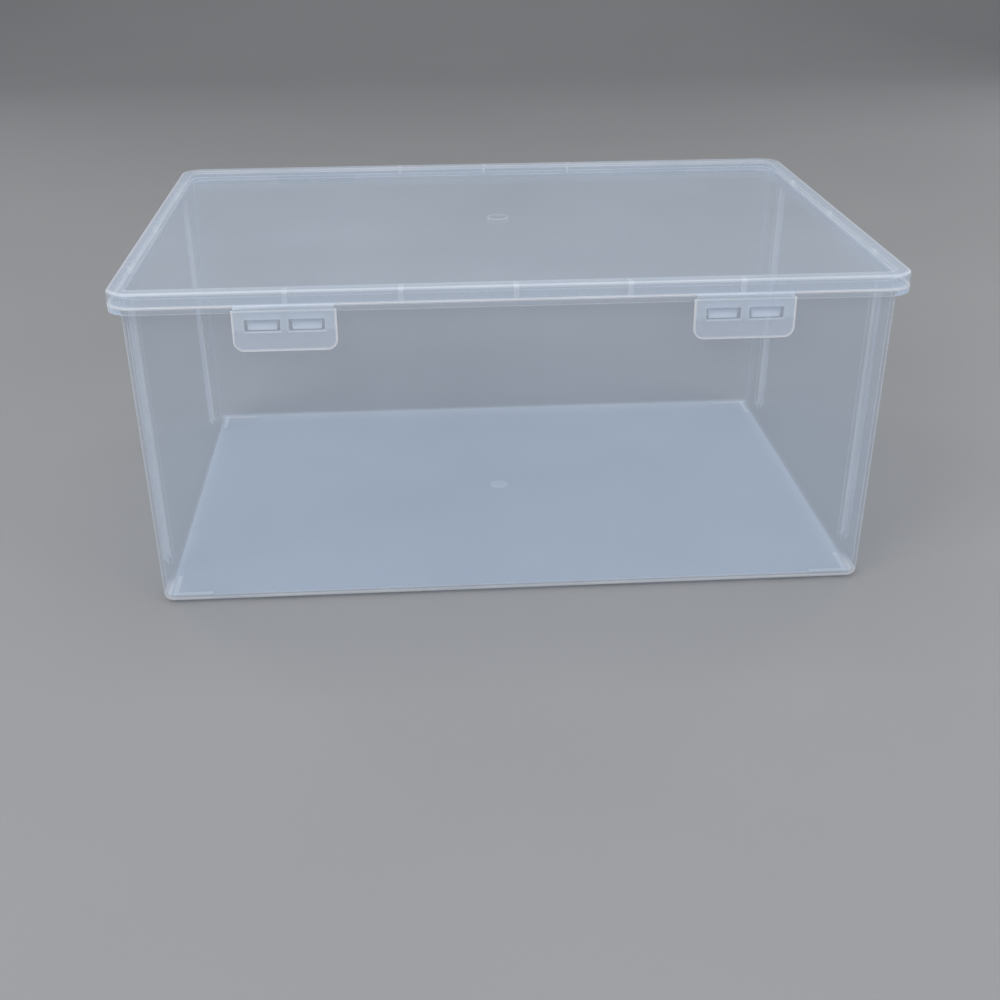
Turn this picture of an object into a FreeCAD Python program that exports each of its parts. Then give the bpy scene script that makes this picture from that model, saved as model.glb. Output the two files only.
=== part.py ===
import FreeCAD, Part
import Sketcher
import math
import os

doc = FreeCAD.newDocument("storage_box")

# Driving sizes in millimetres, each written once
SIZES = {
    # Whole box
    "box_length": 330.0,
    "box_width": 237.0,
    "box_height": 145.0,
    "corner_radius": 11.0,
    # Lid
    "skirt_height": 6.2,
    "skirt_wall": 1.5,
    "rim_width": 6.6,
    "rim_wall": 1.5,
    "recess_depth": 1.5,
    "panel_wall": 1.5,
    "lid_edge_radius": 1.3,
    "recess_edge_radius": 0.5,
    "gusset_width": 1.0,
    "gusset_lift": 0.8,
    "gusset_clearance": 0.6,
    "gusset_pitch": 46.5,
    "gusset_pitch_end": 69.5,
    "gate_diameter": 9.5,
    "gate_height": 0.3,
    # Tub
    "seam_gap": 0.2,
    "flange_height": 2.4,
    "flange_slope": 1.7,
    "flange_edge_radius": 0.3,
    "tub_wall": 1.6,
    "floor_wall": 1.8,
    "wall_inset_top": 4.6,
    "wall_inset_floor": 7.9,
    "wall_corner_radius": 5.0,
    "floor_edge_radius": 3.2,
    "inside_edge_radius": 1.6,
    "upstand_gap": 0.4,
    "upstand_edge_radius": 0.4,
    # Feet
    "foot_height": 0.8,
    "foot_width": 2.0,
    "foot_length": 17.4,
    "foot_inset": 3.9,
    # End ribs
    "rib_spacing": 168.0,
    "rib_width": 6.2,
    "rib_depth_top": 1.6,
    "rib_depth_foot": 2.4,
    "rib_floor_gap": 7.4,
    "rib_edge_radius": 0.6,
    # Latches
    "latch_spacing": 187.0,
    "latch_width": 42.0,
    "latch_height": 17.0,
    "latch_wall": 1.4,
    "latch_gap": 0.8,
    "latch_corner_radius": 4.5,
    "latch_edge_radius": 0.4,
    "window_width": 14.5,
    "window_height": 5.0,
    "window_spacing": 17.8,
    "window_base": 8.3,
    "window_corner_radius": 0.6,
    # Living hinges
    "film_wall": 0.5,
    "film_drop": 1.3,
    "film_side_margin": 0.8,
    "strap_wall": 0.5,
    "strap_width": 42.0,
    # Catch lugs
    "lug_width_top": 13.4,
    "lug_width_nose": 11.6,
    "lug_clearance": 0.3,
    "lug_lean": 1.7,
    "lug_land": 0.5,
    "lug_window_gap": 0.4,
    "lug_wall": 1.4,
}

# Values that follow from the driving sizes
DERIVED = {
    "seam_level": "box_height - skirt_height",
    "flange_top": "seam_level - seam_gap",
    "flange_base": "flange_top - flange_height",
    "slope_base": "flange_base - flange_slope",
    "rim_base": "box_height - rim_wall",
    "recess_level": "box_height - recess_depth",
    "panel_base": "recess_level - panel_wall",
    "step_inset": "rim_width - rim_wall",
    "upstand_top": "panel_base - upstand_gap",
    "floor_level": "foot_height + floor_wall",
    "wall_reach": "wall_corner_radius + wall_inset_floor",
    "draft_per_mm": "(wall_inset_floor - wall_inset_top) / (flange_base - foot_height)",
    "upstand_inset": "wall_inset_top - draft_per_mm * (upstand_top - flange_base)",
    "slope_inset": "wall_inset_top + tub_wall / 4",
    "cavity_inset": "wall_inset_floor - draft_per_mm * floor_wall + tub_wall",
    "root_inset": "wall_inset_top + tub_wall / 2",
    "gusset_reach": "upstand_inset - gusset_clearance",
    "gusset_base": "seam_level + gusset_lift",
    "rib_base": "foot_height + rib_floor_gap",
    "rib_root": "wall_inset_floor - draft_per_mm * rib_floor_gap",
    "latch_centre": "latch_spacing / 2",
    "latch_face": "box_width / 2 + latch_gap",
    "latch_top": "seam_level - film_drop",
    "latch_base": "latch_top - latch_height",
    "window_floor": "latch_base + window_base",
    "film_radius": "latch_gap + latch_wall",
    "seam_middle": "seam_level - seam_gap / 2",
    "lug_base": "window_floor + lug_window_gap",
    "nose_level": "lug_base + lug_land",
    "nose_face": "latch_face - lug_clearance",
    "lug_centre": "latch_centre - window_spacing / 2",
    "lug_core_face": "nose_face - lug_lean - lug_wall / 2",
}

sheet = doc.addObject("Spreadsheet::Sheet", "sizes")
row = 0
for name, content in list(SIZES.items()) + list(DERIVED.items()):
    row += 1
    sheet.set("A%d" % row, name)
    sheet.set("B%d" % row, "=" + content if name in DERIVED else str(content))
    sheet.setAlias("B%d" % row, name)
    doc.recompute()
scratch = doc.addObject("Spreadsheet::Sheet", "scratch")


def bound(formula):
    """Points each size named in a formula at the sheet."""
    out = ""
    word = ""
    for letter in formula + " ":
        if letter.isalnum() or letter == "_":
            word += letter
            continue
        out += "<<sizes>>." + word if word in SIZES or word in DERIVED else word
        out += letter
        word = ""
    return out.strip()


def number(formula):
    """The present value of a formula, for the first placing of a line and for picking edges."""
    scratch.set("A1", "=" + bound(formula))
    scratch.recompute()
    return float(scratch.get("A1"))


def plane(body, role):
    return [feature for feature in body.Origin.OriginFeatures if feature.Role == role][0]


def new_body(label):
    body = doc.addObject("PartDesign::Body", label)
    body.Label = label
    return body


def new_sketch(body, name, role, offset="0"):
    """A sketch parallel to one of the body's own planes, moved along that plane's normal."""
    sketch = body.newObject("Sketcher::SketchObject", name)
    sketch.AttachmentSupport = [(plane(body, role), "")]
    sketch.MapMode = "FlatFace"
    sketch.setExpression("AttachmentOffset.Base.z", bound(offset))
    return sketch


def bind(sketch, formula, kind, *where):
    value = number(formula)
    index = sketch.addConstraint(Sketcher.Constraint(kind, *where, value))
    sketch.setExpression("Constraints[%d]" % index, bound(formula))


def fix(sketch, kind, *where):
    sketch.addConstraint(Sketcher.Constraint(kind, *where))


def vector(x, y):
    return FreeCAD.Vector(x, y, 0)


def draw_arc(sketch, x, y, radius, start, end):
    circle = Part.Circle(vector(x, y), FreeCAD.Vector(0, 0, 1), radius)
    return sketch.addGeometry(Part.ArcOfCircle(circle, math.radians(start), math.radians(end)), False)


def rounded_rectangle(sketch, length, width, radius, centre=("0", "0")):
    """A closed outline with four equal round corners about a centre."""
    half_x = number(length) / 2
    half_y = number(width) / 2
    r = number(radius)
    x = number(centre[0])
    y = number(centre[1])
    corners = [(1, -1), (1, 1), (-1, 1), (-1, -1)]
    sides = []
    arcs = []
    for step, (sx, sy) in enumerate(corners):
        px, py = corners[step - 1]
        if step % 2 == 0:
            start = vector(x + px * (half_x - r), y + sy * half_y)
            end = vector(x + sx * (half_x - r), y + sy * half_y)
        else:
            start = vector(x + sx * half_x, y + py * (half_y - r))
            end = vector(x + sx * half_x, y + sy * (half_y - r))
        sides.append(sketch.addGeometry(Part.LineSegment(start, end), False))
        turn = step * 90 - 90
        arcs.append(draw_arc(sketch, x + sx * (half_x - r), y + sy * (half_y - r), r, turn, turn + 90))
    for step in range(4):
        fix(sketch, "Tangent", sides[step], 2, arcs[step], 1)
        fix(sketch, "Tangent", arcs[step], 2, sides[(step + 1) % 4], 1)
    fix(sketch, "Horizontal", sides[0])
    fix(sketch, "Horizontal", sides[2])
    fix(sketch, "Vertical", sides[1])
    fix(sketch, "Vertical", sides[3])
    for arc in arcs[1:]:
        fix(sketch, "Equal", arcs[0], arc)
    bind(sketch, radius, "Radius", arcs[0])
    bind(sketch, length, "DistanceX", sides[3], 1, sides[1], 1)
    bind(sketch, width, "DistanceY", sides[0], 1, sides[2], 1)
    bind(sketch, "%s + (%s) / 2" % (centre[0], length), "DistanceX", -1, 1, sides[1], 1)
    bind(sketch, "%s + (%s) / 2" % (centre[1], width), "DistanceY", -1, 1, sides[2], 1)


def inset_outline(sketch, inset, radius):
    """The box's outline, drawn in by an inset."""
    rounded_rectangle(sketch, "box_length - 2 * (%s)" % inset, "box_width - 2 * (%s)" % inset, radius)


def polygon(sketch, corners):
    """A closed outline whose corners are pairs of formulas."""
    places = [vector(number(x), number(y)) for x, y in corners]
    lines = []
    for step, place in enumerate(places):
        following = places[(step + 1) % len(places)]
        lines.append(sketch.addGeometry(Part.LineSegment(place, following), False))
    for step in range(len(lines)):
        fix(sketch, "Coincident", lines[step], 2, lines[(step + 1) % len(lines)], 1)
    for step, (x, y) in enumerate(corners):
        bind(sketch, x, "DistanceX", -1, 1, lines[step], 1)
        bind(sketch, y, "DistanceY", -1, 1, lines[step], 1)


def disc(sketch, diameter):
    circle = sketch.addGeometry(Part.Circle(vector(0, 0), FreeCAD.Vector(0, 0, 1), number(diameter) / 2), False)
    fix(sketch, "Coincident", circle, 3, -1, 1)
    bind(sketch, diameter, "Diameter", circle)


def arc_band(sketch, x, y, radius, wall, start, end):
    """A bent strip: two arcs about one centre, closed by a line at each end."""
    outer_radius = number(radius)
    inner_radius = outer_radius - number(wall)
    cx = number(x)
    cy = number(y)
    outer = draw_arc(sketch, cx, cy, outer_radius, start, end)
    inner = draw_arc(sketch, cx, cy, inner_radius, start, end)
    fix(sketch, "Coincident", outer, 3, inner, 3)
    for place, angle in ((1, start), (2, end)):
        aim = vector(math.cos(math.radians(angle)), math.sin(math.radians(angle)))
        middle = vector(cx, cy)
        across = Part.LineSegment(middle + aim * inner_radius, middle + aim * outer_radius)
        closing = sketch.addGeometry(across, False)
        fix(sketch, "Coincident", closing, 1, inner, place)
        fix(sketch, "Coincident", closing, 2, outer, place)
        way = "Horizontal" if angle % 180 == 0 else "Vertical"
        fix(sketch, way, closing)
        fix(sketch, way, outer, 3, outer, place)
    bind(sketch, radius, "Radius", outer)
    bind(sketch, "(%s) - (%s)" % (radius, wall), "Radius", inner)
    bind(sketch, x, "DistanceX", -1, 1, outer, 3)
    bind(sketch, y, "DistanceY", -1, 1, outer, 3)


def pad(body, name, sketch, length, midplane=False, backwards=False, spread="0"):
    """A pad that may widen as it rises, by a spread in millimetres per millimetre of height."""
    feature = body.newObject("PartDesign::Pad", name)
    feature.Profile = sketch
    feature.setExpression("Length", bound(length))
    feature.setExpression("TaperAngle", "atan(%s)" % bound(spread))
    feature.Midplane = midplane
    feature.Reversed = backwards
    doc.recompute()
    return feature


def pocket(body, name, sketch, length, backwards=False):
    feature = body.newObject("PartDesign::Pocket", name)
    feature.Profile = sketch
    feature.setExpression("Length", bound(length))
    feature.Reversed = backwards
    doc.recompute()
    return feature


def loft(body, name, kind, lower, upper):
    feature = body.newObject("PartDesign::" + kind, name)
    feature.Profile = upper
    feature.Sections = [lower]
    feature.Ruled = True
    doc.recompute()
    return feature


def repeated(body, name, originals, steps):
    """Repeats features by mirrors and rows, one after the other."""
    feature = body.newObject("PartDesign::MultiTransform", name)
    feature.Originals = originals
    moves = []
    for count, step in enumerate(steps):
        if step[0] == "mirror":
            move = body.newObject("PartDesign::Mirrored", "%s_mirror_%d" % (name, count + 1))
            move.MirrorPlane = (plane(body, step[1]), [""])
        else:
            move = body.newObject("PartDesign::LinearPattern", "%s_row_%d" % (name, count + 1))
            axis = [item for item in body.Origin.OriginFeatures if item.Role == step[1]][0]
            move.Direction = (axis, [""])
            move.setExpression("Length", bound(step[2]))
            move.Occurrences = int(step[3])
        moves.append(move)
    feature.Transformations = moves
    body.Tip = feature
    doc.recompute()
    return feature


def inset_of(point, radius="corner_radius"):
    """How far a point lies inside the box's outline, or one with other corners, seen from above."""
    r = number(radius)
    x = number("box_length") / 2 - abs(point.x)
    y = number("box_width") / 2 - abs(point.y)
    if x < r and y < r:
        return r - math.hypot(r - x, r - y)
    return min(x, y)


def edges_at(feature, height, inset_from, inset_to, radius="corner_radius"):
    """Names of the level edges of a feature at a height, between two insets from the box's outline."""
    z = number(height)
    low = number(inset_from)
    high = number(inset_to)
    names = []
    for step, edge in enumerate(feature.Shape.Edges):
        box = edge.BoundBox
        if abs(box.ZMin - z) > 0.01 or abs(box.ZMax - z) > 0.01:
            continue
        middle = edge.valueAt((edge.FirstParameter + edge.LastParameter) / 2)
        if low < inset_of(middle, radius) < high:
            names.append("Edge%d" % (step + 1))
    return names


def fillet(body, name, base, names, radius):
    feature = body.newObject("PartDesign::Fillet", name)
    feature.Base = (base, names)
    feature.setExpression("Radius", bound(radius))
    doc.recompute()
    return feature


XY, XZ, YZ = "XY_Plane", "XZ_Plane", "YZ_Plane"

# Tub: the drafted outside, with its floor edge rounded
tub = new_body("tub")
floor_outline = new_sketch(tub, "floor_outline", XY, "foot_height")
inset_outline(floor_outline, "wall_inset_floor", "wall_corner_radius")
outside = pad(tub, "outside", floor_outline, "upstand_top - foot_height", spread="draft_per_mm")
floor_edge = edges_at(outside, "foot_height", "wall_inset_floor - 1", "wall_inset_floor + 1", "wall_reach")
outside_round = fillet(tub, "outside_round", outside, floor_edge, "floor_edge_radius")

# Tub: the flange, level on top and sloping back to the wall below
slope_outline = new_sketch(tub, "slope_outline", XY, "slope_base")
inset_outline(slope_outline, "slope_inset", "wall_reach - slope_inset")
flange_outline = new_sketch(tub, "flange_outline", XY, "flange_base")
inset_outline(flange_outline, "0", "corner_radius")
flange_under = loft(tub, "flange_under", "AdditiveLoft", slope_outline, flange_outline)
flange = pad(tub, "flange", flange_outline, "flange_height")
flange_edge = edges_at(flange, "flange_base", "-0.1", "0.1") + edges_at(flange, "flange_top", "-0.1", "0.1")
flange_round = fillet(tub, "flange_round", flange, flange_edge, "flange_edge_radius")

# Tub: four ribs down the short end walls
rib_profile = new_sketch(tub, "rib_profile", XZ, "rib_spacing / 2")
polygon(rib_profile, [
    ("box_length / 2 - root_inset", "flange_base"),
    ("box_length / 2 - rib_root - tub_wall / 2", "rib_base"),
    ("box_length / 2 - rib_root", "rib_base"),
    ("box_length / 2 - rib_root + rib_depth_foot", "rib_base + rib_depth_foot"),
    ("box_length / 2 - wall_inset_top + rib_depth_top", "flange_base"),
])
rib = pad(tub, "rib", rib_profile, "rib_width", midplane=True)
ribs = repeated(tub, "ribs", [rib], [("mirror", XZ), ("mirror", YZ)])
rib_edge = []
for step, edge in enumerate(ribs.Shape.Edges):
    middle = edge.valueAt((edge.FirstParameter + edge.LastParameter) / 2)
    side = abs(abs(middle.y) - number("rib_spacing / 2"))
    if edge.Length < number("box_height / 2") or abs(side - number("rib_width / 2")) > 0.01:
        continue
    if inset_of(middle) < number("(wall_inset_top + wall_inset_floor) / 2 - rib_depth_top / 2"):
        rib_edge.append("Edge%d" % (step + 1))
rib_round = fillet(tub, "rib_round", ribs, rib_edge, "rib_edge_radius")

# Tub: four catch lugs under the front flange, cored out from below
nose_outline = new_sketch(tub, "nose_outline", XY, "nose_level")
polygon(nose_outline, [
    ("lug_centre - lug_width_nose / 2", "-nose_face"),
    ("lug_centre + lug_width_nose / 2", "-nose_face"),
    ("lug_centre + lug_width_nose / 2", "root_inset - box_width / 2"),
    ("lug_centre - lug_width_nose / 2", "root_inset - box_width / 2"),
])
lug_top_outline = new_sketch(tub, "lug_top_outline", XY, "flange_base")
polygon(lug_top_outline, [
    ("lug_centre - lug_width_top / 2", "lug_lean - nose_face"),
    ("lug_centre + lug_width_top / 2", "lug_lean - nose_face"),
    ("lug_centre + lug_width_top / 2", "root_inset - box_width / 2"),
    ("lug_centre - lug_width_top / 2", "root_inset - box_width / 2"),
])
lug_ramp = loft(tub, "lug_ramp", "AdditiveLoft", nose_outline, lug_top_outline)
lug_nose = pad(tub, "lug_nose", nose_outline, "lug_land", backwards=True)
core_outline = new_sketch(tub, "core_outline", XY, "lug_base")
polygon(core_outline, [
    ("lug_centre - lug_width_nose / 2 + lug_wall", "-lug_core_face"),
    ("lug_centre + lug_width_nose / 2 - lug_wall", "-lug_core_face"),
    ("lug_centre + lug_width_nose / 2 - lug_wall", "wall_inset_top - box_width / 2"),
    ("lug_centre - lug_width_nose / 2 + lug_wall", "wall_inset_top - box_width / 2"),
])
lug_core = pocket(tub, "lug_core", core_outline, "slope_base - lug_base - lug_wall", backwards=True)
lug_pair = ("row", "X_Axis", "window_spacing", 2)
lugs = repeated(tub, "lugs", [lug_ramp, lug_nose, lug_core], [lug_pair, ("mirror", YZ)])

# Tub: four corner feet and the round gate mark
foot_outline = new_sketch(tub, "foot_outline", XY)
foot_x = "box_length / 2 - wall_inset_floor - foot_inset"
foot_y = "box_width / 2 - wall_inset_floor - foot_inset"
polygon(foot_outline, [
    (foot_x, foot_y),
    (foot_x + " - foot_length", foot_y),
    (foot_x + " - foot_length", foot_y + " - foot_width"),
    (foot_x + " - foot_width", foot_y + " - foot_width"),
    (foot_x + " - foot_width", foot_y + " - foot_length"),
    (foot_x, foot_y + " - foot_length"),
])
foot = pad(tub, "foot", foot_outline, "foot_height")
feet = repeated(tub, "feet", [foot], [("mirror", XZ), ("mirror", YZ)])
floor_gate_outline = new_sketch(tub, "floor_gate_outline", XY, "foot_height")
disc(floor_gate_outline, "gate_diameter")
floor_gate = pad(tub, "floor_gate", floor_gate_outline, "gate_height", backwards=True)

# Tub: the inside, one wall away from the outside
cavity_floor = new_sketch(tub, "cavity_floor", XY, "floor_level")
inset_outline(cavity_floor, "cavity_inset", "wall_reach - cavity_inset")
cavity_mouth = new_sketch(tub, "cavity_mouth", XY, "upstand_top")
inset_outline(cavity_mouth, "upstand_inset + tub_wall", "wall_reach - upstand_inset - tub_wall")
cavity = loft(tub, "cavity", "SubtractiveLoft", cavity_floor, cavity_mouth)
inside_edge = edges_at(cavity, "floor_level", "cavity_inset - 1", "cavity_inset + 1", "wall_reach")
inside_round = fillet(tub, "inside_round", cavity, inside_edge, "inside_edge_radius")
upstand_edge = edges_at(
    inside_round, "upstand_top", "upstand_inset - 1", "upstand_inset + tub_wall + 1", "wall_reach")
upstand_round = fillet(tub, "upstand_round", inside_round, upstand_edge, "upstand_edge_radius")

# Lid: rim, sunk panel and skirt
lid = new_body("lid")
lid_outline = new_sketch(lid, "lid_outline", XY, "seam_level")
inset_outline(lid_outline, "0", "corner_radius")
lid_block = pad(lid, "lid_block", lid_outline, "skirt_height")
lid_edge = edges_at(lid_block, "box_height", "-0.1", "0.1")
lid_round = fillet(lid, "lid_round", lid_block, lid_edge, "lid_edge_radius")
recess_outline = new_sketch(lid, "recess_outline", XY, "box_height")
inset_outline(recess_outline, "rim_width", "corner_radius - rim_width")
recess = pocket(lid, "recess", recess_outline, "recess_depth")
recess_edge = edges_at(recess, "box_height", "rim_width - 0.1", "rim_width + 0.1")
recess_edge += edges_at(recess, "recess_level", "rim_width - 0.1", "rim_width + 0.1")
recess_round = fillet(lid, "recess_round", recess, recess_edge, "recess_edge_radius")
under_outline = new_sketch(lid, "under_outline", XY, "seam_level")
inset_outline(under_outline, "skirt_wall", "corner_radius - skirt_wall")
under = pocket(lid, "under", under_outline, "panel_base - seam_level", backwards=True)
channel_outline = new_sketch(lid, "channel_outline", XY, "panel_base")
inset_outline(channel_outline, "skirt_wall", "corner_radius - skirt_wall")
inset_outline(channel_outline, "step_inset", "corner_radius - step_inset")
channel = pocket(lid, "channel", channel_outline, "rim_base - panel_base", backwards=True)


# Lid: stiffening gussets in the channel behind the skirt
def gusset_corners(half_size, sign):
    places = [
        ("skirt_wall / 2", "gusset_base"),
        ("gusset_reach", "gusset_base"),
        ("gusset_reach", "panel_base"),
        ("step_inset + rim_wall / 2", "panel_base"),
        ("step_inset + rim_wall / 2", "rim_base + rim_wall / 4"),
        ("skirt_wall / 2", "rim_base + rim_wall / 4"),
    ]
    return [("%s(%s - %s)" % (sign, half_size, across), up) for across, up in places]


front_gusset_profile = new_sketch(lid, "front_gusset_profile", YZ, "-2 * gusset_pitch")
polygon(front_gusset_profile, gusset_corners("box_width / 2", "-"))
front_gusset = pad(lid, "front_gusset", front_gusset_profile, "gusset_width", midplane=True)
front_gussets = repeated(lid, "front_gussets", [front_gusset], [("row", "X_Axis", "4 * gusset_pitch", 5)])
rear_gusset_profile = new_sketch(lid, "rear_gusset_profile", YZ, "-gusset_pitch")
polygon(rear_gusset_profile, gusset_corners("box_width / 2", ""))
rear_gusset = pad(lid, "rear_gusset", rear_gusset_profile, "gusset_width", midplane=True)
rear_gussets = repeated(lid, "rear_gussets", [rear_gusset], [("row", "X_Axis", "2 * gusset_pitch", 3)])
end_gusset_profile = new_sketch(lid, "end_gusset_profile", XZ, "gusset_pitch_end")
polygon(end_gusset_profile, gusset_corners("box_length / 2", ""))
end_gusset = pad(lid, "end_gusset", end_gusset_profile, "gusset_width", midplane=True)
end_row = ("row", "Y_Axis", "2 * gusset_pitch_end", 3)
end_gussets = repeated(lid, "end_gussets", [end_gusset], [end_row, ("mirror", YZ)])
lid_gate_outline = new_sketch(lid, "lid_gate_outline", XY, "recess_level")
disc(lid_gate_outline, "gate_diameter")
lid_gate = pad(lid, "lid_gate", lid_gate_outline, "gate_height")

# Latches with their films, and the rear hinge straps
bodies = [tub, lid]
for side, sign in (("left", "-"), ("right", "")):
    centre = sign + "latch_centre"

    latch = new_body("latch_" + side)
    flap_outline = new_sketch(latch, "flap_outline_" + side, XZ, "latch_face")
    polygon(flap_outline, [
        (centre + " - latch_width / 2", "latch_base"),
        (centre + " + latch_width / 2", "latch_base"),
        (centre + " + latch_width / 2", "latch_top"),
        (centre + " - latch_width / 2", "latch_top"),
    ])
    flap = pad(latch, "flap_" + side, flap_outline, "latch_wall")
    lower = []
    for step, edge in enumerate(flap.Shape.Edges):
        box = edge.BoundBox
        if box.YLength > number("latch_wall / 2") and box.ZMax < number("latch_base + 0.1"):
            lower.append("Edge%d" % (step + 1))
    flap_corner = fillet(latch, "flap_corner_" + side, flap, lower, "latch_corner_radius")
    window_outline = new_sketch(latch, "window_outline_" + side, XZ, "latch_face + latch_wall")
    for way in ("-", "+"):
        middle = (centre + way + " window_spacing / 2", "window_floor + window_height / 2")
        rounded_rectangle(window_outline, "window_width", "window_height", "window_corner_radius", middle)
    windows = pocket(latch, "windows_" + side, window_outline, "latch_wall")
    front = []
    for step, edge in enumerate(windows.Shape.Edges):
        box = edge.BoundBox
        on_front = abs(box.YMin + number("latch_face + latch_wall")) < 0.01 and box.YLength < 0.01
        if on_front and box.ZMin < number("latch_top - 0.1"):
            front.append("Edge%d" % (step + 1))
    flap_round = fillet(latch, "flap_round_" + side, windows, front, "latch_edge_radius")

    film = new_body("latch_film_" + side)
    film_profile = new_sketch(film, "film_profile_" + side, YZ, centre)
    arc_band(film_profile, "-box_width / 2", "latch_top", "film_radius", "film_wall", 90, 180)
    pad(film, "film_strip_" + side, film_profile, "latch_width - 2 * film_side_margin", midplane=True)

    strap = new_body("hinge_strap_" + side)
    strap_profile = new_sketch(strap, "strap_profile_" + side, YZ, centre)
    arc_band(strap_profile, "box_width / 2", "seam_middle", "film_radius", "strap_wall", -90, 90)
    pad(strap, "strap_strip_" + side, strap_profile, "strap_width", midplane=True)

    bodies += [latch, film, strap]

# Check every feature and every solid, then write the parts
doc.recompute()
doc.removeObject("scratch")
for item in doc.Objects:
    if "Invalid" in item.State or "Error" in item.State:
        raise RuntimeError("%s did not compute: %s" % (item.Name, item.State))
os.makedirs("parts", exist_ok=True)
for body in bodies:
    shape = body.Shape
    if shape.isNull() or not shape.isValid() or len(shape.Solids) != 1:
        raise RuntimeError("%s is not one valid solid" % body.Label)
    shape.exportStep("parts/%s.step" % body.Label)
    box = shape.BoundBox
    print("%-18s %10.1f mm3  x %.2f %.2f  y %.2f %.2f  z %.2f %.2f" % (
        body.Label, shape.Volume, box.XMin, box.XMax, box.YMin, box.YMax, box.ZMin, box.ZMax))
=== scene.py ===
import math

import bpy
from mathutils import Matrix, Vector


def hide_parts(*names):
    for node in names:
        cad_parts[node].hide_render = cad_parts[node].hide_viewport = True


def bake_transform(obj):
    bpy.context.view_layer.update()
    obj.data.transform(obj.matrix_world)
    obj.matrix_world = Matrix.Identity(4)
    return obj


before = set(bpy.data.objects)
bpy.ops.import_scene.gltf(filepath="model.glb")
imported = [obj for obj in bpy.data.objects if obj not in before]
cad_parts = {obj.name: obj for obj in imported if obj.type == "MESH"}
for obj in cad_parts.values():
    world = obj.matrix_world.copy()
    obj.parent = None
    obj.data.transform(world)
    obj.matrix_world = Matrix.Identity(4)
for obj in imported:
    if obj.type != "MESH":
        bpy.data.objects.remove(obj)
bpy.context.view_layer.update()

# Sizes of the whole box, in millimetres as in the part
BOX_LENGTH = 330.0
BOX_WIDTH = 237.0
BOX_HEIGHT = 145.0
CORNER_RADIUS = 11.0
GATE_DIAMETER = 9.5

# Sizes of the lid
RIM_WIDTH = 6.6
SKIRT_HEIGHT = 6.2
SKIRT_FOOT = BOX_HEIGHT - SKIRT_HEIGHT
RECESS_DEPTH = 1.5
RECESS_LEVEL = BOX_HEIGHT - RECESS_DEPTH
PANEL_WALL = 1.5
GUSSET_PITCH = 46.5
END_GUSSET_PITCH = 69.5

# Sizes of the tub
SEAM_GAP = 0.2
SEAM_MIDDLE = SKIRT_FOOT - SEAM_GAP / 2
FLANGE_HEIGHT = 2.4
FLANGE_SLOPE = 1.7
FLANGE_TOP = SKIRT_FOOT - SEAM_GAP
FLANGE_FOOT = FLANGE_TOP - FLANGE_HEIGHT
SLOPE_FOOT = FLANGE_FOOT - FLANGE_SLOPE
UPSTAND_GAP = 0.4
UPSTAND_TOP = RECESS_LEVEL - PANEL_WALL - UPSTAND_GAP
WALL_INSET_TOP = 4.6
WALL_INSET_FLOOR = 7.9
WALL_CORNER_RADIUS = 5.0
WALL_REACH = WALL_CORNER_RADIUS + WALL_INSET_FLOOR
FOOT_HEIGHT = 0.8
FOOT_WIDTH = 2.0
FOOT_LENGTH = 17.4
FOOT_INSET = 3.9
FLOOR_WALL = 1.8
FLOOR_LEVEL = FOOT_HEIGHT + FLOOR_WALL
RIB_SPACING = 168.0
RIB_WIDTH = 6.2

# Sizes of the latches and the living hinges
LATCH_SPACING = 187.0
LATCH_PLACE = LATCH_SPACING / 2
LATCH_WIDTH = 42.0
LATCH_HEIGHT = 17.0
LATCH_CORNER = 4.5
FILM_DROP = 1.3
LATCH_TOP = SKIRT_FOOT - FILM_DROP
LATCH_FOOT = LATCH_TOP - LATCH_HEIGHT
WINDOW_SPACING = 17.8
WINDOW_WIDTH = 14.5
WINDOW_HEIGHT = 5.0
WINDOW_BASE = 8.3
WINDOW_FOOT = LATCH_FOOT + WINDOW_BASE
LATCH_GAP = 0.8
LATCH_WALL = 1.4
HINGE_RADIUS = LATCH_GAP + LATCH_WALL
HINGE_WALL = 0.5
HINGE_EDGE = 0.12
FILM_SIDE_MARGIN = 0.8
FILM_WIDTH = LATCH_WIDTH - 2 * FILM_SIDE_MARGIN
STRAP_WIDTH = 42.0
HINGE_ARC_STEPS = 25
HINGE_EDGE_STEPS = 3

# How milky each moulding is, and how strongly each of its marks shows, from 0 to 1; the lines are painted
# highlights, and some milk marks are painted light
TUB_HAZE = 0.065
LID_HAZE = 0.112
LATCH_HAZE = 0.25
HINGE_HAZE = 0.16
# The lid's edge, skirt foot, gusset and gate lines are painted highlights; the gusset bars are painted light,
# partly sink marks
LID_SHOWS = {"outer_edge": 0.14, "recess_edge": 0.2, "skirt_foot": 0.6, "gussets": 0.9, "gate": 0.25,
             "rim": 0.14, "skirt": 0.11, "gusset_sink_and_light_bars": 0.12, "end_bars": 0.4}
# The tub's flange, mouth, floor edge, feet and rib edge lines are painted highlights; the turned corner and
# floor entries are painted light
TUB_SHOWS = {"flange_foot": 0.2, "flange_top": 0.35, "mouth": 0.25, "front_floor_edge": 0.6,
             "floor_edge": 0.06, "feet": 0.2, "rib_edges": 0.3, "rib_body": 0.07, "lugs": 0.45, "gate": 0.12,
             "flange": 0.06, "turned_corner_highlight": 0.9, "corner": 0.015, "floor": 0.3}
# The latch's outline, window and crease lines are painted highlights
LATCH_SHOWS = {"outline": 0.45, "window": 0.1, "crease": 0.3, "upper": 0.12}
# Both hinge entries weigh a painted highlight along the film's bend
HINGE_SHOWS = {"thickness_and_painted_light": 0.05, "line": 0.1}

# Colours
CLEAR_TINT = (0.968, 0.982, 1.0, 1)
BODY_TINTS = ((0.71, 0.80, 0.92, 1), (0.75, 0.83, 0.93, 1))
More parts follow.
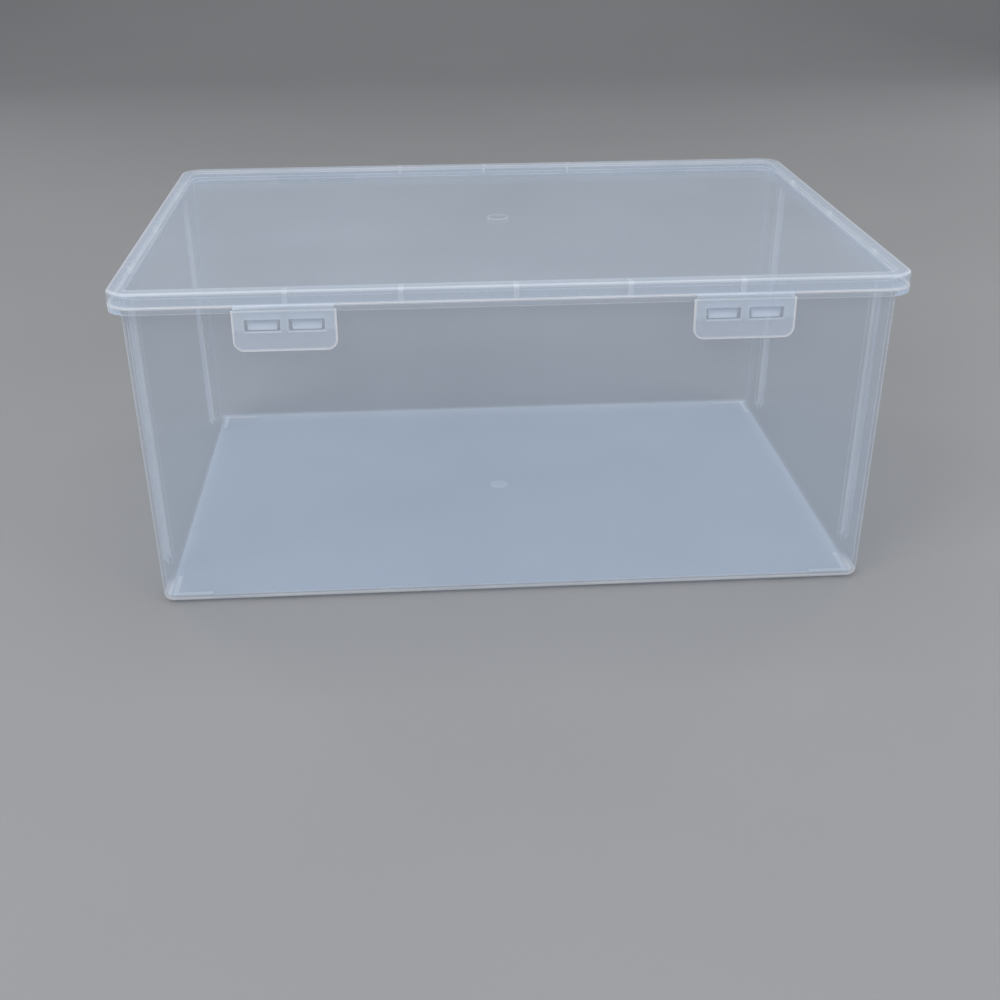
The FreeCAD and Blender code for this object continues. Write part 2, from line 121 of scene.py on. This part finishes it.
# Near-white of the painted highlight lines, partly real scatter in thick edges
HIGHLIGHT_TINT = (0.93, 0.93, 0.94, 1)
SHINE_TINT = (1, 1, 1, 1)
PAPER_TINTS = ((0.285, 0.288, 0.298, 1), (0.31, 0.313, 0.323, 1))
SKY_TINT = (0.95, 0.97, 1.0, 1)

# Floor and backdrop, in metres
FLOOR_REACH = 40.0
FLOOR_FRONT = -40.0
FLOOR_MIDDLE = -3.0
FLOOR_DROP = 0.0002
BEND_START = 1.4
BEND_RADIUS = 1.2
BEND_STEPS = 16
BACKDROP_TOP = 5.0

# Camera, in metres, with its lens in millimetres
CAMERA_PLACE = (-0.04171, -0.65169, 0.30337)
CAMERA_RIGHT = Vector((0.99773, -0.06711, -0.00569))
CAMERA_UP = Vector((0.03391, 0.42750, 0.90338))
CAMERA_BACK = Vector((-0.05819, -0.90152, 0.42881))
SENSOR_WIDTH = 36
FOCAL_LENGTH = 49.406

# Sockets of a Mix node that mixes colours
MIX_SHARE = 0
MIX_FIRST_COLOUR = 6
MIX_SECOND_COLOUR = 7
MIX_COLOUR_RESULT = 2

MILLIMETRES_PER_METRE = 1000

scene = bpy.context.scene


def metres(*lengths):
    return tuple(length / MILLIMETRES_PER_METRE for length in lengths)


# Numbers read off a surface, and nodes made from them
def put(socket, value):
    """Links a socket to a reading or another socket, or gives it a plain value."""
    if isinstance(value, Reading):
        value = value.socket
    if isinstance(value, bpy.types.NodeSocket):
        socket.id_data.links.new(value, socket)
    else:
        socket.default_value = value


def add(tree, kind, **settings):
    node = tree.nodes.new(kind)
    for name, value in settings.items():
        setattr(node, name, value)
    return node


class Reading:
    """A number that varies over a surface. Sums, products and the like become Math nodes."""

    def __init__(self, tree, socket):
        self.tree = tree
        self.socket = socket

    def worked(self, operation, other=None):
        node = add(self.tree, "ShaderNodeMath", operation=operation)
        put(node.inputs[0], self)
        if other is not None:
            put(node.inputs[1], other)
        return Reading(self.tree, node.outputs[0])

    def __add__(self, other):
        return self.worked("ADD", other)

    def __sub__(self, other):
        return self.worked("SUBTRACT", other)

    def __mul__(self, other):
        return self.worked("MULTIPLY", other)

    def __pow__(self, other):
        return self.worked("POWER", other)

    def __neg__(self):
        return self * -1.0

    def __abs__(self):
        return self.worked("ABSOLUTE")

    def most(self, *others):
        """The largest of this and other numbers."""
        largest = self
        for other in others:
            largest = largest.worked("MAXIMUM", other)
        return largest

    def least(self, other):
        return self.worked("MINIMUM", other)

    def spread(self, low, high, to_low, to_high, kind="LINEAR"):
        node = add(self.tree, "ShaderNodeMapRange", interpolation_type=kind)
        put(node.inputs["Value"], self)
        put(node.inputs["From Min"], low)
        put(node.inputs["From Max"], high)
        put(node.inputs["To Min"], to_low)
        put(node.inputs["To Max"], to_high)
        return Reading(self.tree, node.outputs["Result"])

    def rise(self, low, high):
        """Goes softly from 0 at low to 1 at high."""
        return self.spread(low, high, 0.0, 1.0, "SMOOTHSTEP")

    def above(self, level, soft):
        """1 over a level, softly falling to 0 under it."""
        return self.rise(level - soft, level + soft)

    def below(self, level, soft):
        """1 under a level, softly falling to 0 over it."""
        return self.rise(level + soft, level - soft)

    def from_multiple(self, pitch):
        """How far a number lies from the nearest multiple of a pitch."""
        return self.worked("PINGPONG", pitch / 2)

    def near(self, place, reach):
        """1 at a place, softly falling to 0 at a reach from it."""
        return abs(self - place).rise(reach, 0.0)


def hypotenuse(a, b):
    return (a * a + b * b).worked("SQRT")


def past_round_corner(a, b):
    """How far a point lies past a corner's centre, with a and b its distances past it both ways."""
    return hypotenuse(a.most(0.0), b.most(0.0)) + a.most(b).least(0.0)


def noise(tree, place, scale, detail):
    node = add(tree, "ShaderNodeTexNoise")
    put(node.inputs["Vector"], place)
    put(node.inputs["Scale"], scale)
    put(node.inputs["Detail"], detail)
    return Reading(tree, node.outputs["Fac"])


def mixed_colour(tree, share, first, second):
    node = add(tree, "ShaderNodeMix", data_type="RGBA")
    put(node.inputs[MIX_SHARE], share)
    put(node.inputs[MIX_FIRST_COLOUR], first)
    put(node.inputs[MIX_SECOND_COLOUR], second)
    return node.outputs[MIX_COLOUR_RESULT]


def mixed_shader(tree, share, first, second):
    node = add(tree, "ShaderNodeMixShader")
    put(node.inputs[0], share)
    put(node.inputs[1], first.outputs[0])
    put(node.inputs[2], second.outputs[0])
    return node


# Where the mouldings are thick, where painted light brightens them, and painted highlights where their edges
# catch the light
def outline_readings(x, y, radius):
    """How far inside the box's outline a point lies, for a corner radius, and how far into a corner's arc."""
    across = abs(x) - (BOX_LENGTH / 2 - radius)
    along = abs(y) - (BOX_WIDTH / 2 - radius)
    inset = -past_round_corner(across, along) + radius
    return inset, across.least(along)


def lid_marks(x, y, z, turned):
    shows = LID_SHOWS
    inset = outline_readings(x, y, CORNER_RADIUS)[0]
    # Painted highlight lines along the rim's edges, the skirt foot and the gate ring, partly real scatter in
    # thick edges
    outer_edge = inset.near(0.7, 2.2) * z.rise(RECESS_LEVEL - 0.5, BOX_HEIGHT - 0.6) * shows["outer_edge"]
    in_recess = z.rise(RECESS_LEVEL - 0.5, RECESS_LEVEL + 0.2)
    recess_edge = inset.near(RIM_WIDTH, 1.3) * in_recess * shows["recess_edge"]
    skirt_foot = z.rise(SKIRT_FOOT + 0.6, SKIRT_FOOT + 0.1) * shows["skirt_foot"]
    # Painted light on the gussets inside the channel, which the lamps barely reach
    in_channel = inset.rise(1.7, 2.0) * inset.rise(4.9, 4.6)
    gussets = in_channel * z.rise(BOX_HEIGHT - 1.9, BOX_HEIGHT - 2.3) * shows["gussets"]
    gate = hypotenuse(x, y).near(GATE_DIAMETER / 2, 0.7) * shows["gate"]
    line = outer_edge.most(recess_edge, skirt_foot, gussets, gate)

    on_rim = z.rise(BOX_HEIGHT - 0.8, BOX_HEIGHT - 0.2)
    rim = inset.rise(RIM_WIDTH + 0.3, RIM_WIDTH - 0.5) * on_rim * shows["rim"]
    skirt = inset.rise(2.0, 1.4) * shows["skirt"]
    # Painted light bars on the skirt and rim over each gusset, partly the gussets' sink marks
    long_side = abs(x).rise(2.3 * GUSSET_PITCH, 2.2 * GUSSET_PITCH)
    rear_middle = abs(x).rise(1.3 * GUSSET_PITCH, 1.2 * GUSSET_PITCH).most(y.below(0.0, 1.0))
    bars = x.from_multiple(GUSSET_PITCH).rise(1.5, 0.8) * long_side * rear_middle
    short_side = abs(x).rise(BOX_LENGTH / 2 - 8.0, BOX_LENGTH / 2 - 7.0) * abs(y).rise(82.0, 80.0)
    end_bars = y.from_multiple(END_GUSSET_PITCH).rise(1.5, 0.8) * short_side * shows["end_bars"]
    gusset_sink_and_light_bars = bars.most(end_bars) * inset.rise(5.2, 4.8) * shows["gusset_sink_and_light_bars"]
    return rim + skirt + gusset_sink_and_light_bars, line


def tub_marks(x, y, z, turned):
    shows = TUB_SHOWS
    inset, corner = outline_readings(x, y, WALL_REACH)
    draft = (WALL_INSET_FLOOR - WALL_INSET_TOP) / (FLANGE_FOOT - FOOT_HEIGHT)
    depth = inset + z * draft - (WALL_INSET_FLOOR + draft * FOOT_HEIGHT)
    on_floor = z.rise(FLOOR_LEVEL + 0.6, FLOOR_LEVEL + 0.2)

    # Painted highlight lines along the flange, mouth, floor edge, feet and rib edges, partly real scatter in
    # thick edges
    lower_edge = z.near(FLANGE_FOOT, 0.6) * shows["flange_foot"]
    upper_edge = z.near(FLANGE_TOP, 0.5) * shows["flange_top"]
    flange_edges = inset.near(0.0, 1.0) * (lower_edge + upper_edge)
    mouth = z.rise(UPSTAND_TOP - 0.7, UPSTAND_TOP) * shows["mouth"]
    in_front = y.rise(-85.0, -105.0) * shows["front_floor_edge"] + shows["floor_edge"]
    floor_edge = z.rise(FLOOR_LEVEL + 1.8, FLOOR_LEVEL + 0.2) * depth.rise(3.2, 1.8) * in_front
    foot_place = WALL_INSET_FLOOR + FOOT_INSET
    from_end = -abs(x) + (BOX_LENGTH / 2 - foot_place)
    from_side = -abs(y) + (BOX_WIDTH / 2 - foot_place)
    near_edge = from_end.least(from_side)
    far_edge = from_end.most(from_side)
    foot = near_edge.above(0.0, 0.3) * near_edge.below(FOOT_WIDTH, 0.3)
    feet = foot * far_edge.below(FOOT_LENGTH, 0.3) * on_floor * shows["feet"]
    from_rib = abs(abs(y) - RIB_SPACING / 2)
    on_end_wall = abs(x).rise(BOX_LENGTH / 2 - 15.0, BOX_LENGTH / 2 - 11.0)
    on_rib = on_end_wall * z.rise(FLANGE_FOOT, SLOPE_FOOT) * z.rise(6.0, 9.0)
    rib_edges = from_rib.near(RIB_WIDTH / 2, 0.9) * on_rib * shows["rib_edges"]
    line = flange_edges.most(mouth, floor_edge, feet, rib_edges)

    rib_body = from_rib.below(RIB_WIDTH / 2, 0.5) * on_rib * shows["rib_body"]
    under_flange = z.rise(FLANGE_FOOT + 0.4, FLANGE_FOOT)
    lugs = depth.rise(-0.3, -0.7) * under_flange * y.rise(-100.0, -105.0) * shows["lugs"]
    gate = hypotenuse(x, y).below(GATE_DIAMETER / 2, 0.3) * on_floor * shows["gate"]
    flange = z.rise(SLOPE_FOOT, FLANGE_FOOT) * shows["flange"]
    # Painted highlight along the wall corners where they turn away, over a little milk for the corners'
    # thickness
    silhouette_highlight = corner.rise(-1.0, 0.5) * (turned ** 4.0 * shows["turned_corner_highlight"] + shows["corner"])
    # Painted light brightening the tub's floor, which lies in the shade of the lid and walls
    floor = z.rise(FLOOR_LEVEL + 1.0, FLOOR_LEVEL + 0.2) * depth.rise(1.8, 3.2) * shows["floor"]
    return silhouette_highlight + rib_body + lugs + gate + flange + floor, line


def latch_marks(x, y, z, turned):
    shows = LATCH_SHOWS
    aside = abs(x) - LATCH_PLACE
    beside = abs(aside) - (LATCH_WIDTH / 2 - LATCH_CORNER)
    below = -z + (LATCH_FOOT + LATCH_CORNER)
    # Painted highlight lines along the flap's outline, its windows and the crease under the film
    outline = past_round_corner(beside, below).near(LATCH_CORNER - 0.2, 0.9) * shows["outline"]
    window_side = abs(abs(aside) - WINDOW_SPACING / 2) - WINDOW_WIDTH / 2
    window_level = abs(z - (WINDOW_FOOT + WINDOW_HEIGHT / 2)) - WINDOW_HEIGHT / 2
    window = window_side.most(window_level).near(0.1, 0.6) * shows["window"]
    crease = z.rise(LATCH_TOP - 0.8, LATCH_TOP) * shows["crease"]
    upper = z.rise(WINDOW_FOOT - 1.0, WINDOW_FOOT + 1.5) * shows["upper"]
    return upper, outline.most(window, crease)


def hinge_marks(x, y, z, turned):
    # Painted highlight and a little painted milk along the film's bend
    bend_highlight = z.near(LATCH_TOP + HINGE_RADIUS * 0.85, 0.6)
    return bend_highlight * HINGE_SHOWS["thickness_and_painted_light"], bend_highlight * HINGE_SHOWS["line"]


# Milky see-through polypropylene
def milky_plastic(name, haze, marks):
    """A material whose thick places and painted highlight lines come from marks.

    marks takes a point's place in millimetres and how far the surface there is turned away, from 0 to 1.
    It gives how much milk the thick places and painted light add, and how strongly the painted highlight
    lines show.
    """
    material = bpy.data.materials.new(name)
    material.use_nodes = True
    tree = material.node_tree
    tree.nodes.clear()

    place = add(tree, "ShaderNodeTexCoord").outputs["Object"]
    in_millimetres = add(tree, "ShaderNodeVectorMath", operation="SCALE")
    put(in_millimetres.inputs[0], place)
    put(in_millimetres.inputs["Scale"], MILLIMETRES_PER_METRE)
    apart = add(tree, "ShaderNodeSeparateXYZ")
    put(apart.inputs[0], in_millimetres.outputs[0])
    facing = add(tree, "ShaderNodeLayerWeight")
    put(facing.inputs["Blend"], 0.5)
    turned = Reading(tree, facing.outputs["Facing"])
    # The marks give milk for thickness and for painted light, and the strength of the painted highlight lines
    thickness_and_painted_light, line = marks(*[Reading(tree, socket) for socket in apart.outputs], turned)

    cloud = noise(tree, place, 11.0, 2.0)
    wave = noise(tree, place, 26.0, 1.0)
    body_share = cloud.spread(0.0, 1.0, haze * 0.65, haze * 1.35) * (turned ** 3.0 * 0.9 + 1.0)
    # Painted highlight lines, partly real scatter in thick edges, broken up by noise and tinted near-white
    line_share = line * wave.spread(0.0, 1.0, 0.45, 1.5)
    milk_share = (body_share + thickness_and_painted_light + line_share).least(0.95)
    on_line = line.rise(0.0, 0.4)

    clear = add(tree, "ShaderNodeBsdfTransparent")
    put(clear.inputs["Color"], CLEAR_TINT)
    milk = add(tree, "ShaderNodeBsdfPrincipled")
    put(milk.inputs["Roughness"], 0.4)
    put(milk.inputs["IOR"], 1.49)
    body_tint = mixed_colour(tree, wave, *BODY_TINTS)
    put(milk.inputs["Base Color"], mixed_colour(tree, on_line, body_tint, HIGHLIGHT_TINT))
    through = add(tree, "ShaderNodeBsdfTranslucent")
    put(through.inputs["Color"], HIGHLIGHT_TINT)
    lit_milk = mixed_shader(tree, on_line * 0.25, milk, through)
    body = mixed_shader(tree, milk_share, clear, lit_milk)

    bump = add(tree, "ShaderNodeBump")
    put(bump.inputs["Strength"], 0.05)
    put(bump.inputs["Distance"], 0.0006)
    put(bump.inputs["Height"], wave)
    shine = add(tree, "ShaderNodeBsdfGlossy")
    put(shine.inputs["Color"], SHINE_TINT)
    put(shine.inputs["Roughness"], cloud.spread(0.0, 1.0, 0.13, 0.26))
    put(shine.inputs["Normal"], bump.outputs[0])
    skin = mixed_shader(tree, turned ** 5.0 * 0.12 + 0.02, body, shine)

    out = add(tree, "ShaderNodeOutputMaterial")
    put(out.inputs["Surface"], skin.outputs[0])
    return material


tub_plastic = milky_plastic("milky_tub", TUB_HAZE, tub_marks)
lid_plastic = milky_plastic("milky_lid", LID_HAZE, lid_marks)
latch_plastic = milky_plastic("milky_latch", LATCH_HAZE, latch_marks)
hinge_plastic = milky_plastic("milky_hinge", HINGE_HAZE, hinge_marks)


def dress(piece, material):
    piece.data.materials.clear()
    piece.data.materials.append(material)


dress(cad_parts["tub"], tub_plastic)
dress(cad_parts["lid"], lid_plastic)
for side in ("left", "right"):
    dress(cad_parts["latch_" + side], latch_plastic)
    dress(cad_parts["latch_film_" + side], hinge_plastic)
    dress(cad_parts["hinge_strap_" + side], hinge_plastic)


# Living hinges: one thin strip bent along an arc, with soft edges
def bent_strip_tree():
    tree = bpy.data.node_groups.new("bent_strip", "GeometryNodeTree")
    tree.is_modifier = True
    sockets = {}
    for name, kind in (("Radius", "Float"), ("Wall", "Float"), ("Width", "Float"), ("Edge", "Float"),
                       ("Start", "Float"), ("Sweep", "Float"), ("Centre", "Vector"), ("Plastic", "Material")):
        item = tree.interface.new_socket(name, in_out="INPUT", socket_type="NodeSocket" + kind)
        sockets[name] = item.identifier
    tree.interface.new_socket("Geometry", in_out="OUTPUT", socket_type="NodeSocketGeometry")
    given = tree.nodes.new("NodeGroupInput").outputs

    half_wall = Reading(tree, given["Wall"]) * 0.5
    arc = add(tree, "GeometryNodeCurveArc", mode="RADIUS")
    put(arc.inputs["Resolution"], HINGE_ARC_STEPS)
    put(arc.inputs["Radius"], Reading(tree, given["Radius"]) - half_wall)
    put(arc.inputs["Start Angle"], given["Start"])
    put(arc.inputs["Sweep Angle"], given["Sweep"])
    section = add(tree, "GeometryNodeCurvePrimitiveQuadrilateral", mode="RECTANGLE")
    put(section.inputs["Width"], given["Wall"])
    put(section.inputs["Height"], given["Width"])
    rounded = add(tree, "GeometryNodeFilletCurve", mode="POLY")
    put(rounded.inputs["Count"], HINGE_EDGE_STEPS)
    put(rounded.inputs["Curve"], section.outputs[0])
    put(rounded.inputs["Radius"], given["Edge"])
    strip = add(tree, "GeometryNodeCurveToMesh")
    put(strip.inputs["Fill Caps"], True)
    put(strip.inputs["Curve"], arc.outputs[0])
    put(strip.inputs["Profile Curve"], rounded.outputs[0])
    placed = add(tree, "GeometryNodeTransform")
    put(placed.inputs["Rotation"], (math.pi / 2, 0, math.pi / 2))
    put(placed.inputs["Geometry"], strip.outputs[0])
    put(placed.inputs["Translation"], given["Centre"])
    real = add(tree, "GeometryNodeRealizeInstances")
    put(real.inputs[0], placed.outputs[0])
    coloured = add(tree, "GeometryNodeSetMaterial")
    put(coloured.inputs["Geometry"], real.outputs[0])
    put(coloured.inputs["Material"], given["Plastic"])
    put(tree.nodes.new("NodeGroupOutput").inputs[0], coloured.outputs[0])
    return tree, sockets


strip_tree, strip_sockets = bent_strip_tree()


def bent_strip(name, **sizes):
    """One bent strip as a plain mesh, from the tree's named sizes."""
    blank = bpy.data.objects.new(name + "_blank", bpy.data.meshes.new(name + "_blank"))
    scene.collection.objects.link(blank)
    maker = blank.modifiers.new("bent_strip", "NODES")
    maker.node_group = strip_tree
    for size, value in sizes.items():
        maker[strip_sockets[size]] = value
    evaluated = blank.evaluated_get(bpy.context.evaluated_depsgraph_get())
    mesh = bpy.data.meshes.new_from_object(evaluated)
    mesh.name = name
    blank.modifiers.remove(maker)
    bpy.data.objects.remove(blank)
    mesh.shade_smooth()
    piece = bpy.data.objects.new(name, mesh)
    scene.collection.objects.link(piece)
    return piece


radius, wall, edge = metres(HINGE_RADIUS, HINGE_WALL, HINGE_EDGE)
film_width, strap_width = metres(FILM_WIDTH, STRAP_WIDTH)
shared = {"Radius": radius, "Wall": wall, "Edge": edge, "Plastic": hinge_plastic}
for side, sign in (("left", -1), ("right", 1)):
    x = sign * LATCH_PLACE
    film = bent_strip("rolled_film_" + side, Width=film_width, Start=math.pi / 2, Sweep=math.pi / 2,
                      Centre=metres(x, -BOX_WIDTH / 2, LATCH_TOP), **shared)
    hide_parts("latch_film_" + side)
    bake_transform(film)
    strap = bent_strip("folded_strap_" + side, Width=strap_width, Start=-math.pi / 2, Sweep=math.pi,
                       Centre=metres(x, BOX_WIDTH / 2, SEAM_MIDDLE), **shared)
    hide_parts("hinge_strap_" + side)
    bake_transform(strap)


# Floor that sweeps up into a backdrop
def pale_paper():
    material = bpy.data.materials.new("pale_paper")
    material.use_nodes = True
    tree = material.node_tree
    face = tree.nodes["Principled BSDF"]
    put(face.inputs["Roughness"], 0.6)
    grain = noise(tree, add(tree, "ShaderNodeTexCoord").outputs["Object"], 5.0, 3.0)
    put(face.inputs["Base Color"], mixed_colour(tree, grain, *PAPER_TINTS))
    return material


def floor_and_backdrop():
    profile = [(FLOOR_FRONT, 0.0), (FLOOR_MIDDLE, 0.0), (BEND_START, 0.0)]
    for step in range(1, BEND_STEPS + 1):
        angle = math.radians(90 * step / BEND_STEPS)
        back = BEND_START + BEND_RADIUS * math.sin(angle)
        profile.append((back, BEND_RADIUS - BEND_RADIUS * math.cos(angle)))
    profile.append((BEND_START + BEND_RADIUS, BACKDROP_TOP))
    corners = [(side * FLOOR_REACH, y, z) for y, z in profile for side in (-1, 1)]
    faces = [(2 * step, 2 * step + 1, 2 * step + 3, 2 * step + 2) for step in range(len(profile) - 1)]
    mesh = bpy.data.meshes.new("floor_sweep")
    mesh.from_pydata(corners, [], faces)
    mesh.shade_smooth()
    mesh.materials.append(pale_paper())
    sweep = bpy.data.objects.new("floor_sweep", mesh)
    sweep.location.z = -FLOOR_DROP
    scene.collection.objects.link(sweep)
    return sweep


floor_sweep = floor_and_backdrop()

# Soft studio light
world = bpy.data.worlds.new("studio")
scene.world = world
world.use_nodes = True
sky = world.node_tree.nodes["Background"]
put(sky.inputs["Color"], SKY_TINT)
put(sky.inputs["Strength"], 0.4)


def soft_lamp(name, place, aim, size, power):
    lamp = bpy.data.lights.new(name, "AREA")
    lamp.shape = "RECTANGLE"
    lamp.size, lamp.size_y = size
    lamp.energy = power
    thing = bpy.data.objects.new(name, lamp)
    thing.location = place
    direction = Vector(aim) - Vector(place)
    thing.rotation_euler = direction.to_track_quat("-Z", "Y").to_euler()
    scene.collection.objects.link(thing)


soft_lamp("key_light", place=(-0.9, -1.0, 1.25), aim=(0, 0, 0.08), size=(0.9, 0.9), power=15)
soft_lamp("fill_light", place=(1.2, -1.0, 0.85), aim=(0, 0, 0.08), size=(0.9, 0.9), power=9)
soft_lamp("top_light", place=(0.0, 0.2, 1.8), aim=(0, 0, 0.0), size=(1.4, 1.0), power=8)
soft_lamp("left_edge_light", place=(-1.15, 0.9, 0.65), aim=(0, 0, 0.1), size=(0.5, 1.1), power=4)
soft_lamp("right_edge_light", place=(1.15, 0.9, 0.65), aim=(0, 0, 0.1), size=(0.5, 1.1), power=4)

# Camera at the photograph's viewing angle
lens = bpy.data.cameras.new("camera")
lens.sensor_width = SENSOR_WIDTH
lens.lens = FOCAL_LENGTH
lens.clip_start = 0.01
lens.clip_end = 50
camera = bpy.data.objects.new("camera", lens)
turn = Matrix((CAMERA_RIGHT, CAMERA_UP, CAMERA_BACK)).transposed().to_4x4()
camera.matrix_world = Matrix.Translation(CAMERA_PLACE) @ turn
scene.collection.objects.link(camera)
scene.camera = camera

scene.view_settings.view_transform = "Standard"
